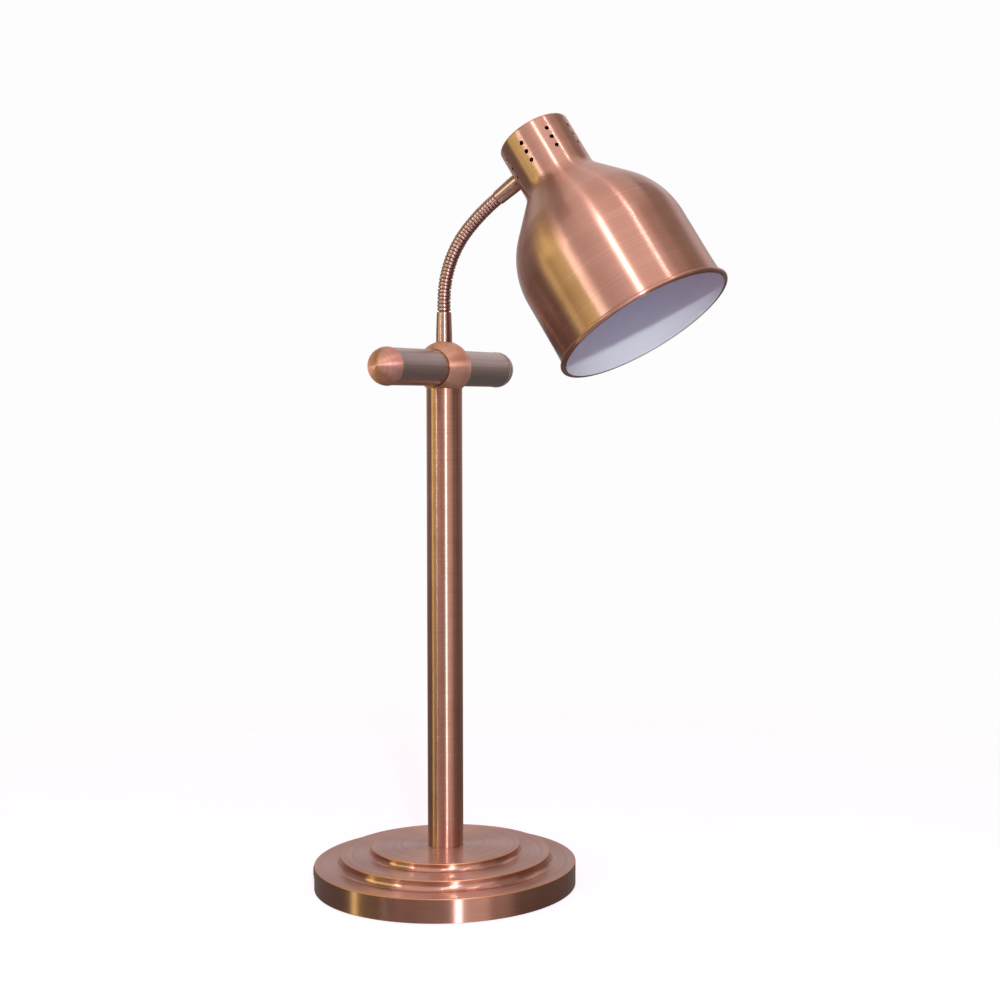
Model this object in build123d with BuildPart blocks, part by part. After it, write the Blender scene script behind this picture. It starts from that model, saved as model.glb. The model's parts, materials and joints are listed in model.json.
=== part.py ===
from build123d import *
import math
import os

# Food warming lamp: stepped round base, tube post, ball hub with a cross tube, gooseneck and bell shade.
# Millimetres. The origin is on the table under the post, +Z is up and the gooseneck leans towards +X.

# Base, a spun shell of three steps with a coved foot under each upper step
base_radius = 140.0
base_wall = 1.5
base_edge_gap = 1.0
step_one_top = 26.0
step_two_radius = 112.5
step_two_top = 36.4
step_two_cove = 6.0
step_three_radius = 79.8
step_three_top = 44.3
step_three_cove = 4.8
edge_round = 0.6

# Under the base: pad, cover, weight and its fixings
pad_thickness = 2.0
pad_inset = 6.0
cover_thickness = 2.0
cover_clearance = 0.3
weight_side_gap = 6.0
weight_top_gap = 1.9
weight_thickness = 13.0
weight_chamfer = 1.5
weight_boss_radius = 30.0
screw_boss_radius = 6.5
screw_circle_radius = 85.0
cover_screw_count = 3
cover_screw_radius = 2.0
cover_screw_length = 12.0
cover_screw_head_radius = 3.6
cover_screw_head_height = 1.6
screw_slot = 0.8
screw_slot_depth = 0.9
thread_clearance = 0.05
nipple_radius = 5.0
nipple_bore_radius = 3.5
nipple_below_nut = 0.5
nipple_into_post = 14.0
washer_radius = 15.0
washer_thickness = 1.5
nut_flat_to_flat = 17.0
nut_thickness = 6.0

# Post
post_radius = 19.0
post_wall = 1.2
plug_clearance = 0.05
plug_height = 16.0

# Ball hub and cross tube
hub_height = 555.0
ball_radius = 28.6
cross_tube_radius = 19.1
cross_tube_wall = 1.2
cross_tube_half_length = 104.5
cross_bore_clearance = 0.05
cross_bore_chamfer = 0.9
cap_radius = 19.8
cap_wall = 1.5
cap_spigot_length = 9.0
spigot_length = 12.0
wire_hole_radius = 4.5
grub_radius = 2.5
grub_socket_flats = 2.5
grub_socket_depth = 2.5
grub_sink = 0.4
grub_length = {"hub_grub_screw": 7.0, "cross_tube_grub_screw": 11.0}

# Lower ferrule
ferrule_base_radius = 8.5
ferrule_top_radius = 7.7
ferrule_length = 31.7
ferrule_chamfer = 0.5

# Gooseneck: ribbed links joined by ball noses in cups, along a straight run, a tight arc and an easy arc
link_count = 12
ribs_per_link = 3
rib_pitch = 3.87
rib_radius = 7.0
groove_radius = 6.15
groove_width = 1.6
rib_slope = 0.45
nose_radius = 5.25
cup_clearance = 0.2
nose_depth = 4.0
neck_bore_radius = 2.6
straight_run = 10.8
tight_radius = 105.8
tight_turn = 43.7

# Upper ferrule and its fixing through the shade's neck
upper_ferrule_length = 29.7
upper_ferrule_radius = 8.5
upper_ferrule_overrun = 2.0
stem_clearance = 0.1
stem_below_top = 27.3
stem_inside = 8.5
neck_nut_flat_to_flat = 14.0
neck_nut_thickness = 4.5

# Shade, measured along its axis back from the plane of the mouth
shade_lean_angle = 33.4
shade_wall = 1.2
mouth_radius = 90.9
bell_radius = 90.2
flare_height = 25.0
bell_height = 80.7
shoulder_radius = 87.9
shoulder_turn = 40.4
throat_round = 6.0
neck_radius = 38.5
shade_height = 233.3
neck_top_round = 2.6
bead_radius = 2.3
bead_overhang = 1.5
vent_columns = 8
vent_rows = 3
vent_radius = 2.15
vent_pitch = 10.4
vent_below_top = 15.3

# Socket, bracket and bulb on the shade's axis
bracket_thickness = 1.5
bracket_width = 16.0
bracket_drop = 19.0
bracket_reach = 14.0
bracket_clearance = 0.03
socket_below_top = 17.3
socket_length = 52.0
socket_radius = 21.0
socket_mouth_radius = 14.4
socket_roof = 11.0
socket_round = 2.0
screw_spacing = 19.0
socket_screw_radius = 1.75
socket_screw_head_radius = 3.2
socket_screw_head_height = 1.8
socket_screw_depth = 8.0
sleeve_outer_radius = 14.2
sleeve_wall = 0.6
sleeve_height = 32.0
contact_reach = 17.0
contact_thickness = 0.6
contact_width = 7.0
bulb_cap_radius = 13.2
bulb_cap_length = 25.0
bulb_cap_bevel = 3.0
bulb_tip_radius = 4.5
bulb_tip_height = 2.0
bulb_glass_length = 111.0
bulb_face_sag = 7.0
bulb_face_radius = 57.0
bulb_radius = 60.5
bulb_widest_depth = 16.0
bulb_waist_depth = 43.0
bulb_waist_radius = 49.5
bulb_throat_depth = 86.0
bulb_throat_radius = 21.0
bulb_stem_radius = 12.4
bulb_stem_into_cap = 6.0
glass_wall = 1.5
filament_radius = 0.6
filament_span = 14.0
filament_depth = 46.0

# Leads
lead_radius = 2.2
lead_bend = 6.0
lead_clearance = 0.2
lead_hole_radius = 3.2
lead_into_ferrule = 20.8
lead_beside_socket = 2.4
lead_arch = 6.5
lead_stop = 3.0
block_length = 30.0
block_width = 18.0
block_height = 12.0
block_hole_radius = 1.7
block_place = -65.0

# Cable inlet and switch at the back of the base
inlet_height = 13.0
inlet_bore_radius = 3.5
inlet_shank_radius = 6.0
inlet_flange_radius = 9.0
inlet_flange = 5.0
inlet_shank = 11.0
inlet_chamfer = 1.0
inlet_nut_flats = 15.0
inlet_nut_thickness = 4.0
switch_turn = 24.0
switch_length = 21.0
switch_height = 15.0
switch_flange = 1.8
switch_body_length = 18.6
switch_body_height = 12.6
switch_body_depth = 14.0
switch_cutout_gap = 0.2
switch_corner = 1.2
tab_width = 4.8
tab_thickness = 0.8
tab_length = 7.0
rocker_length = 15.5
rocker_height = 9.4
rocker_gap = 0.35
rocker_end_gap = 0.65
rocker_depth = 5.0
rocker_crest = 3.6
rocker_valley = 2.5
rocker_shoulder = 0.5
rocker_back = 2.6
rocker_slant = 2.2
rocker_tilt_angle = 6.0
rocker_axle_radius = 1.2
axle_wall = 0.4
axle_end_gap = 0.2

os.makedirs("parts", exist_ok=True)

cover_bottom = pad_thickness
cover_top = cover_bottom + cover_thickness
shell_inner_radius = base_radius - base_wall
weight_radius = step_two_radius - base_wall - weight_side_gap
weight_disc_top = step_two_top - base_wall - weight_top_gap
weight_underside = weight_disc_top - weight_thickness
nut_top = weight_underside - washer_thickness
nut_bottom = nut_top - nut_thickness
post_inner_radius = post_radius - post_wall
hub_seat = hub_height - math.sqrt(ball_radius**2 - post_radius**2)
ferrule_seat = hub_height + math.sqrt(ball_radius**2 - ferrule_base_radius**2)
ferrule_top = ferrule_seat + ferrule_length
cross_bore_radius = cross_tube_radius + cross_bore_clearance
cross_tube_inner = cross_tube_radius - cross_tube_wall
cross_bore_top = hub_height + cross_bore_radius

half_groove = groove_width / 2
link_pitch = ribs_per_link * rib_pitch
first_pivot = ferrule_top + half_groove
cup_radius = nose_radius + cup_clearance
lean = math.radians(shade_lean_angle)
whole_turn = math.pi / 2 - lean
tight_length = tight_radius * math.radians(tight_turn)
easy_length = link_count * link_pitch - straight_run - tight_length
easy_radius = easy_length / (whole_turn - math.radians(tight_turn))


def neck_angle(distance):
    # Angle from upright of the gooseneck's centre line, this far along it
    if distance < straight_run:
        return 0.0
    if distance < straight_run + tight_length:
        return (distance - straight_run) / tight_radius
    return math.radians(tight_turn) + (distance - straight_run - tight_length) / easy_radius


link_angles = [neck_angle((k + 0.5) * link_pitch) for k in range(link_count)]
pivots = [(0.0, first_pivot)]
for angle in link_angles:
    x, z = pivots[-1]
    pivots.append((x + link_pitch * math.sin(angle), z + link_pitch * math.cos(angle)))

# Places along the shade's axis, back from the mouth
stem_height_on_shade = shade_height - stem_below_top
vent_top = shade_height - vent_below_top
socket_top = shade_height - socket_below_top
bracket_foot = socket_top - bracket_drop
lead_loop = socket_top + bracket_thickness + lead_arch
socket_floor = socket_top - socket_roof
bulb_cap_top = socket_floor - contact_reach - bulb_tip_height
bulb_cap_foot = bulb_cap_top - bulb_cap_length
stem_end = bulb_cap_foot + bulb_stem_into_cap
bulb_face = bulb_cap_foot - bulb_glass_length
bulb_widest = bulb_face + bulb_widest_depth
bulb_waist = bulb_face + bulb_waist_depth
bulb_throat = bulb_face + bulb_throat_depth
filament_height = bulb_face + filament_depth

# The shade hangs from the end of the gooseneck, square to it
outward = Vector(math.cos(lean), 0, math.sin(lean))
upward = Vector(-math.sin(lean), 0, math.cos(lean))
neck_end = Vector(pivots[-1][0], 0, pivots[-1][1])
neck_face = neck_end + outward * (half_groove + upper_ferrule_length)
mouth_centre = neck_face + outward * neck_radius - upward * stem_height_on_shade
shade_section = Plane(origin=mouth_centre, x_dir=outward, z_dir=(0, -1, 0))
shade_axis = Axis(mouth_centre, upward)


def across_shade(height):
    # Plane square to the shade's axis, this far back from the mouth
    return Plane(origin=mouth_centre + upward * height, x_dir=outward, z_dir=upward)


def beside_shade(height, distance, degrees=180):
    # Plane facing out from the shade's axis, with its x along the axis; 180 faces the gooseneck
    turn = math.radians(degrees)
    facing = outward * math.cos(turn) + Vector(0, 1, 0) * math.sin(turn)
    return Plane(
        origin=mouth_centre + upward * height + facing * distance, x_dir=upward, z_dir=facing
    )


def stepped_section(inset):
    # Half section of the stepped base, this far inside its outer face
    foot = 0 if inset else base_edge_gap
    cove_two_centre = (step_two_radius + step_two_cove, step_one_top + step_two_cove)
    cove_three_centre = (step_three_radius + step_three_cove, step_two_top + step_three_cove)
    with BuildSketch() as section:
        with BuildLine():
            Polyline(
                (0, foot),
                (base_radius - inset, foot),
                (base_radius - inset, step_one_top - inset),
                (step_two_radius + step_two_cove, step_one_top - inset),
            )
            cove_two = CenterArc(cove_two_centre, step_two_cove + inset, 270, -90)
            Polyline(
                cove_two @ 1,
                (step_two_radius - inset, step_two_top - inset),
                (step_three_radius + step_three_cove, step_two_top - inset),
            )
            cove_three = CenterArc(cove_three_centre, step_three_cove + inset, 270, -90)
            Polyline(
                cove_three @ 1,
                (step_three_radius - inset, step_three_top - inset),
                (0, step_three_top - inset),
                (0, foot),
            )
        make_face()
    return section.sketch


# Places at the back of the base, where -X is the back
inlet_plane = Plane(origin=(-base_radius, 0, inlet_height), x_dir=(0, 0, 1), z_dir=(-1, 0, 0))
switch_angle = math.radians(180 + switch_turn)
switch_facing = Vector(math.cos(switch_angle), math.sin(switch_angle), 0)
switch_plane = Plane(
    origin=switch_facing * base_radius + Vector(0, 0, inlet_height), x_dir=(0, 0, 1), z_dir=switch_facing
)

with BuildPart() as base_shell:
    with BuildSketch(Plane.XZ):
        add(stepped_section(0))
    revolve(axis=Axis.Z)
    rims = base_shell.edges().filter_by(GeomType.CIRCLE).filter_by(
        lambda e: any(
            abs(e.radius - radius) < 0.01 and abs(e.center().Z - top) < 0.01
            for radius, top in (
                (base_radius, step_one_top),
                (step_two_radius, step_two_top),
                (step_three_radius, step_three_top),
            )
        )
    )
    fillet(rims, edge_round)
    with BuildSketch(Plane.XZ):
        add(stepped_section(base_wall))
    revolve(axis=Axis.Z, mode=Mode.SUBTRACT)
    with BuildSketch(Plane.XY.offset(step_three_top - 2 * base_wall)):
        Circle(nipple_radius + thread_clearance)
    extrude(amount=3 * base_wall, mode=Mode.SUBTRACT)
    with BuildSketch(inlet_plane.offset(-3 * base_wall)):
        Circle(inlet_shank_radius + stem_clearance)
    extrude(amount=4 * base_wall, mode=Mode.SUBTRACT)
    with BuildSketch(switch_plane.offset(-3 * base_wall)):
        Rectangle(switch_body_height + 2 * switch_cutout_gap, switch_body_length + 2 * switch_cutout_gap)
    extrude(amount=4 * base_wall, mode=Mode.SUBTRACT)
base_shell.part.label = "base_shell"
export_step(base_shell.part, "parts/base_shell.step")

with BuildPart() as base_weight:
    with BuildSketch(Plane.XY.offset(weight_underside)):
        Circle(weight_radius)
    extrude(amount=weight_disc_top - weight_underside)
    with BuildSketch(Plane.XY.offset(weight_disc_top)):
        Circle(weight_boss_radius)
    extrude(amount=step_three_top - base_wall - weight_disc_top)
    with BuildSketch(Plane.XY.offset(cover_top)):
        with PolarLocations(screw_circle_radius, cover_screw_count, start_angle=90):
            Circle(screw_boss_radius)
    extrude(amount=weight_underside - cover_top)
    with BuildSketch(Plane.XY.offset(cover_top)):
        Circle(nipple_radius + stem_clearance)
    extrude(amount=step_three_top - cover_top, mode=Mode.SUBTRACT)
    with BuildSketch(Plane.XY.offset(cover_top)):
        with PolarLocations(screw_circle_radius, cover_screw_count, start_angle=90):
            Circle(cover_screw_radius + thread_clearance)
    extrude(amount=cover_screw_length, mode=Mode.SUBTRACT)
    chamfer(base_weight.edges().filter_by(GeomType.CIRCLE).group_by(SortBy.RADIUS)[-1], weight_chamfer)
base_weight.part.label = "base_weight"
export_step(base_weight.part, "parts/base_weight.step")

with BuildPart() as base_cover:
    with BuildSketch(Plane.XY.offset(cover_bottom)):
        Circle(shell_inner_radius - cover_clearance)
        with PolarLocations(screw_circle_radius, cover_screw_count, start_angle=90):
            Circle(cover_screw_radius + stem_clearance, mode=Mode.SUBTRACT)
    extrude(amount=cover_thickness)
    with BuildSketch(Plane.XY.offset(cover_bottom)):
        with PolarLocations(screw_circle_radius, cover_screw_count, start_angle=90):
            Circle(cover_screw_head_radius + stem_clearance)
    extrude(amount=cover_screw_head_height, mode=Mode.SUBTRACT)
base_cover.part.label = "base_cover"
export_step(base_cover.part, "parts/base_cover.step")

with BuildPart() as cover_screws:
    with BuildSketch(Plane.XY.offset(cover_bottom)):
        with PolarLocations(screw_circle_radius, cover_screw_count, start_angle=90):
            Circle(cover_screw_head_radius)
    extrude(amount=cover_screw_head_height)
    with BuildSketch(Plane.XY.offset(cover_bottom)):
        with PolarLocations(screw_circle_radius, cover_screw_count, start_angle=90):
            Circle(cover_screw_radius)
    extrude(amount=cover_screw_length)
    with BuildSketch(Plane.XY.offset(cover_bottom)):
        with PolarLocations(screw_circle_radius, cover_screw_count, start_angle=90):
            Rectangle(cover_screw_head_radius, screw_slot)
            Rectangle(screw_slot, cover_screw_head_radius)
    extrude(amount=screw_slot_depth, mode=Mode.SUBTRACT)
cover_screws.part.label = "cover_screws"
export_step(cover_screws.part, "parts/cover_screws.step")

with BuildPart() as foot_pad:
    with BuildSketch(Plane.XY):
        Circle(base_radius - pad_inset)
    extrude(amount=pad_thickness)
foot_pad.part.label = "foot_pad"
export_step(foot_pad.part, "parts/foot_pad.step")

with BuildPart() as base_washer:
    with BuildSketch(Plane.XY.offset(nut_top)):
        Circle(washer_radius)
        Circle(nipple_radius + stem_clearance, mode=Mode.SUBTRACT)
    extrude(amount=washer_thickness)
base_washer.part.label = "base_washer"
export_step(base_washer.part, "parts/base_washer.step")

with BuildPart() as base_nut:
    with BuildSketch(Plane.XY.offset(nut_bottom)):
        RegularPolygon(nut_flat_to_flat / 2, 6, major_radius=False)
        Circle(nipple_radius + thread_clearance, mode=Mode.SUBTRACT)
    extrude(amount=nut_thickness)
base_nut.part.label = "base_nut"
export_step(base_nut.part, "parts/base_nut.step")

with BuildPart() as base_nipple:
    with BuildSketch(Plane.XY.offset(nut_bottom - nipple_below_nut)):
        Circle(nipple_radius)
        Circle(nipple_bore_radius, mode=Mode.SUBTRACT)
    extrude(amount=step_three_top + nipple_into_post - nut_bottom + nipple_below_nut)
base_nipple.part.label = "base_nipple"
export_step(base_nipple.part, "parts/base_nipple.step")

with BuildPart() as post_foot_plug:
    with BuildSketch(Plane.XY.offset(step_three_top)):
        Circle(post_inner_radius - plug_clearance)
        Circle(nipple_radius + thread_clearance, mode=Mode.SUBTRACT)
    extrude(amount=plug_height)
post_foot_plug.part.label = "post_foot_plug"
export_step(post_foot_plug.part, "parts/post_foot_plug.step")

spigot_radius = post_inner_radius - plug_clearance
grub_height = hub_seat - spigot_length / 2
grub_plane = Plane(origin=(0, 0, grub_height), x_dir=(0, 0, 1), z_dir=(-1, 0, 0))

with BuildPart() as post_tube:
    with BuildSketch(Plane.XY.offset(step_three_top)):
        Circle(post_radius)
        Circle(post_inner_radius, mode=Mode.SUBTRACT)
    extrude(amount=hub_seat - step_three_top)
    with BuildSketch(grub_plane.offset(post_inner_radius - post_wall)):
        Circle(grub_radius + thread_clearance)
    extrude(amount=3 * post_wall, mode=Mode.SUBTRACT)
post_tube.part.label = "post_tube"
export_step(post_tube.part, "parts/post_tube.step")

hub_grub_plane = Plane(origin=(0, 0, hub_height), x_dir=(0, 0, 1), z_dir=(-1, 0, 0))
across_hub = Plane(origin=(0, -ball_radius, hub_height), x_dir=(1, 0, 0), z_dir=(0, 1, 0))

with BuildPart() as ball_hub:
    with BuildSketch(Plane.XZ):
        with BuildLine():
            seat_angle = math.degrees(math.asin((hub_seat - hub_height) / ball_radius))
            top_angle = math.degrees(math.asin((ferrule_seat - hub_height) / ball_radius))
            ball_side = CenterArc((0, hub_height), ball_radius, seat_angle, top_angle - seat_angle)
            Line(ball_side @ 1, (0, ferrule_seat))
            Line((0, ferrule_seat), (0, hub_seat - spigot_length))
            Line((0, hub_seat - spigot_length), (spigot_radius, hub_seat - spigot_length))
            Line((spigot_radius, hub_seat - spigot_length), (spigot_radius, hub_seat))
            Line((spigot_radius, hub_seat), ball_side @ 0)
        make_face()
    revolve(axis=Axis.Z)
    with BuildSketch(across_hub):
        Circle(cross_bore_radius)
    extrude(amount=2 * ball_radius, mode=Mode.SUBTRACT)
    mouth_edges = ball_hub.edges().filter_by(GeomType.CIRCLE).filter_by(
        lambda e: abs(e.radius - cross_bore_radius) < 0.01
    )
    chamfer(mouth_edges, cross_bore_chamfer)
    with BuildSketch(Plane.XY.offset(hub_seat - spigot_length)):
        Circle(wire_hole_radius)
    extrude(amount=hub_height - hub_seat + spigot_length, mode=Mode.SUBTRACT)
    with BuildSketch(Plane.XY.offset(hub_height)):
        Circle(nipple_radius)
    extrude(amount=ball_radius, mode=Mode.SUBTRACT)
    with BuildSketch(grub_plane):
        Circle(grub_radius + thread_clearance)
    extrude(amount=post_radius, mode=Mode.SUBTRACT)
    with BuildSketch(hub_grub_plane):
        Circle(grub_radius + thread_clearance)
    extrude(amount=2 * ball_radius, mode=Mode.SUBTRACT)
ball_hub.part.label = "ball_hub"
export_step(ball_hub.part, "parts/ball_hub.step")

with BuildPart() as cross_tube:
    with BuildSketch(Plane(origin=(0, -cross_tube_half_length, hub_height), z_dir=(0, 1, 0))):
        Circle(cross_tube_radius)
        Circle(cross_tube_inner, mode=Mode.SUBTRACT)
    extrude(amount=2 * cross_tube_half_length)
    with BuildSketch(Plane.XY.offset(hub_height)):
        Circle(wire_hole_radius)
    extrude(amount=2 * cross_tube_radius, both=True, mode=Mode.SUBTRACT)
    with BuildSketch(hub_grub_plane):
        Circle(grub_radius + thread_clearance)
    extrude(amount=2 * cross_tube_radius, mode=Mode.SUBTRACT)
cross_tube.part.label = "cross_tube"
export_step(cross_tube.part, "parts/cross_tube.step")


def cap_section():
    # Half section of a domed tube cap, with x outward from the tube's axis and y away from the hub
    plug_radius = cross_tube_inner - plug_clearance
    hollow_radius = cap_radius - cap_wall
    hollow_start = math.degrees(math.acos((plug_radius - cap_wall) / hollow_radius))
    with BuildSketch() as section:
        with BuildLine():
            dome = CenterArc((0, 0), cap_radius, 0, 90)
            hollow = CenterArc((0, 0), hollow_radius, hollow_start, 90 - hollow_start)
            Line(dome @ 1, hollow @ 1)
            Polyline(
                hollow @ 0,
                (plug_radius - cap_wall, -cap_spigot_length),
                (plug_radius, -cap_spigot_length),
                (plug_radius, 0),
                dome @ 0,
            )
        make_face()
    return section.sketch


for side, name in ((-1, "tube_cap_near"), (1, "tube_cap_far")):
    cap_foot = (0, side * cross_tube_half_length, hub_height)
    with BuildPart() as tube_cap:
        with BuildSketch(Plane(origin=cap_foot, x_dir=(side, 0, 0), z_dir=(0, 0, 1))):
            add(cap_section())
        revolve(axis=Axis(cap_foot, (0, 1, 0)))
    tube_cap.part.label = name
    export_step(tube_cap.part, f"parts/{name}.step")

for name, plane, tip in (
    ("hub_grub_screw", grub_plane, post_radius - grub_sink),
    ("cross_tube_grub_screw", hub_grub_plane, ball_radius - grub_sink),
):
    with BuildPart() as grub_screw:
        with BuildSketch(plane.offset(tip)):
            Circle(grub_radius)
        extrude(amount=-grub_length[name])
        with BuildSketch(plane.offset(tip)):
            RegularPolygon(grub_socket_flats / 2, 6, major_radius=False)
        extrude(amount=-grub_socket_depth, mode=Mode.SUBTRACT)
    grub_screw.part.label = name
    export_step(grub_screw.part, f"parts/{name}.step")


def along(point, angle):
    # Plane whose y runs along the gooseneck at this angle from upright, with x to its inner side
    return Plane(
        origin=(point[0], 0, point[1]),
        x_dir=(math.cos(angle), 0, -math.sin(angle)),
        z_dir=(0, -1, 0),
    )


def line_of(point, angle):
    return Axis((point[0], 0, point[1]), (math.sin(angle), 0, math.cos(angle)))


def rib_points(start, count):
    # Corners of the ribs from this height on: up the slope, over the crest and down to the groove
    points = []
    for k in range(count):
        foot = start + k * rib_pitch
        crest = rib_pitch - groove_width - 2 * rib_slope
        points += [
            (groove_radius, foot),
            (rib_radius, foot + rib_slope),
            (rib_radius, foot + rib_slope + crest),
            (groove_radius, foot + 2 * rib_slope + crest),
        ]
    return points


def nose_arc():
    # Ball nose about the lower pivot, from its cut end up to the middle of the first groove
    low = math.degrees(math.asin(-nose_depth / nose_radius))
    high = math.degrees(math.asin(half_groove / nose_radius))
    return CenterArc((0, 0), nose_radius, low, high - low)


def cup_arc(height):
    # Cup about the pivot at this height, from its lip down to the bore
    lip = -math.degrees(math.asin(half_groove / cup_radius))
    floor = -math.degrees(math.acos(neck_bore_radius / cup_radius))
    return CenterArc((0, height), cup_radius, lip, floor - lip)


with BuildPart() as lower_ferrule:
    with BuildSketch(Plane.XZ):
        with BuildLine():
            cup = cup_arc(first_pivot)
            stem_foot = cross_bore_top + stem_clearance
            Polyline(
                cup @ 0,
                (ferrule_top_radius - ferrule_chamfer, ferrule_top),
                (ferrule_top_radius, ferrule_top - ferrule_chamfer),
                (ferrule_base_radius, ferrule_seat + ferrule_base_radius),
                (ferrule_base_radius, ferrule_seat),
                (nipple_radius - thread_clearance, ferrule_seat),
                (nipple_radius - thread_clearance, stem_foot),
                (neck_bore_radius, stem_foot),
                cup @ 1,
            )
        make_face()
    revolve(axis=Axis.Z)
lower_ferrule.part.label = "lower_ferrule"
export_step(lower_ferrule.part, "parts/lower_ferrule.step")

for k in range(link_count):
    with BuildPart() as neck_link:
        with BuildSketch(along(pivots[k], link_angles[k])):
            with BuildLine():
                nose = nose_arc()
                cup = cup_arc(link_pitch)
                Polyline(nose @ 1, *rib_points(half_groove, ribs_per_link), cup @ 0)
                Polyline(cup @ 1, (neck_bore_radius, -nose_depth), nose @ 0)
            make_face()
        revolve(axis=line_of(pivots[k], link_angles[k]))
    neck_link.part.label = f"neck_link_{k + 1:02d}"
    export_step(neck_link.part, f"parts/neck_link_{k + 1:02d}.step")

with BuildPart() as upper_ferrule:
    with BuildSketch(along(pivots[-1], whole_turn)):
        with BuildLine():
            nose = nose_arc()
            shade_end = half_groove + upper_ferrule_length + upper_ferrule_overrun
            Polyline(
                nose @ 1,
                (ferrule_top_radius - ferrule_chamfer, half_groove),
                (ferrule_top_radius, half_groove + ferrule_chamfer),
                (upper_ferrule_radius, half_groove + upper_ferrule_length - upper_ferrule_radius),
                (upper_ferrule_radius, shade_end),
                (neck_bore_radius, shade_end),
                (neck_bore_radius, -nose_depth),
                nose @ 0,
            )
        make_face()
    revolve(axis=line_of(pivots[-1], whole_turn))
    with BuildSketch(across_shade(stem_height_on_shade - neck_radius)):
        Circle(neck_radius)
    extrude(amount=2 * neck_radius, mode=Mode.SUBTRACT)
    with BuildSketch(beside_shade(stem_height_on_shade, neck_radius - stem_inside)):
        Circle(nipple_radius)
    extrude(amount=stem_inside + nipple_radius)
    with BuildSketch(beside_shade(stem_height_on_shade, neck_radius - stem_inside)):
        Circle(neck_bore_radius)
    extrude(amount=stem_inside + 2 * nipple_radius, mode=Mode.SUBTRACT)
upper_ferrule.part.label = "upper_ferrule"
export_step(upper_ferrule.part, "parts/upper_ferrule.step")


def bell_section(inset):
    # Half section of the shade, this far inside its outer face: x from the axis, y back from the mouth
    foot = -1 if inset else 0
    top = shade_height - inset
    turn = math.radians(shoulder_turn)
    with BuildSketch() as section:
        with BuildLine():
            shoulder = CenterArc(
                (bell_radius - shoulder_radius, bell_height), shoulder_radius - inset, 0, shoulder_turn
            )
            slope_end = shoulder @ 1
            slope_run = slope_end.X - neck_radius + inset
            throat = (neck_radius - inset, slope_end.Y + slope_run / math.tan(turn))
            Polyline(
                (0, foot),
                (mouth_radius - inset, foot),
                (bell_radius - inset, flare_height),
                shoulder @ 0,
            )
            Polyline(slope_end, throat, (neck_radius - inset, top), (0, top), (0, foot))
        make_face()
        corners = section.vertices()
        fillet(corners.sort_by_distance(throat)[0], throat_round + inset)
        fillet(corners.sort_by_distance((neck_radius - inset, top))[0], neck_top_round - inset)
    return section.sketch


with BuildPart() as shade:
    with BuildSketch(shade_section):
        add(bell_section(0))
    revolve(axis=shade_axis)
    with BuildSketch(shade_section):
        with Locations((mouth_radius + bead_overhang, bead_radius)):
            Circle(bead_radius)
    revolve(axis=shade_axis)
    with BuildSketch(shade_section):
        add(bell_section(shade_wall))
    revolve(axis=shade_axis, mode=Mode.SUBTRACT)
    for k in range(vent_columns):
        column = k * 360 / vent_columns
        if column == 180:
            continue
        with BuildSketch(beside_shade(vent_top, neck_radius - 3 * shade_wall, column)):
            for row in range(vent_rows):
                with Locations((-row * vent_pitch, 0)):
                    Circle(vent_radius)
        extrude(amount=5 * shade_wall, mode=Mode.SUBTRACT)
    with BuildSketch(beside_shade(stem_height_on_shade, neck_radius - 3 * shade_wall)):
        Circle(nipple_radius + stem_clearance)
    extrude(amount=5 * shade_wall, mode=Mode.SUBTRACT)
shade.part.label = "shade"
export_step(shade.part, "parts/shade.step")

# The bracket's foot lies against the inside of the neck, touching it along its two long edges
neck_inner_radius = neck_radius - shade_wall
bracket_face = math.sqrt(neck_inner_radius**2 - (bracket_width / 2) ** 2) - bracket_clearance
bracket_back = bracket_face - bracket_thickness
lead_rise_radius = socket_radius + lead_beside_socket + lead_radius

with BuildPart() as socket_bracket:
    with BuildSketch(shade_section):
        with BuildLine():
            Polyline(
                (-bracket_face, bracket_foot),
                (-bracket_back, bracket_foot),
                (-bracket_back, socket_top),
                (bracket_reach, socket_top),
                (bracket_reach, socket_top + bracket_thickness),
                (-bracket_face, socket_top + bracket_thickness),
                (-bracket_face, bracket_foot),
            )
        make_face()
    extrude(amount=bracket_width / 2, both=True)
    with BuildSketch(beside_shade(stem_height_on_shade, bracket_back - bracket_thickness)):
        Circle(nipple_radius + stem_clearance)
    extrude(amount=3 * bracket_thickness, mode=Mode.SUBTRACT)
    with BuildSketch(across_shade(socket_top - bracket_thickness)):
        Circle(lead_hole_radius)
        with Locations((-lead_rise_radius, 0)):
            Circle(lead_hole_radius)
        with GridLocations(screw_spacing, 1, 2, 1):
            Circle(socket_screw_radius + stem_clearance)
    extrude(amount=3 * bracket_thickness, mode=Mode.SUBTRACT)
socket_bracket.part.label = "socket_bracket"
export_step(socket_bracket.part, "parts/socket_bracket.step")

with BuildPart() as neck_nut:
    with BuildSketch(beside_shade(stem_height_on_shade, bracket_back - neck_nut_thickness)):
        RegularPolygon(neck_nut_flat_to_flat / 2, 6, major_radius=False)
        Circle(nipple_radius + thread_clearance, mode=Mode.SUBTRACT)
    extrude(amount=neck_nut_thickness)
neck_nut.part.label = "neck_nut"
export_step(neck_nut.part, "parts/neck_nut.step")

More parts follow.
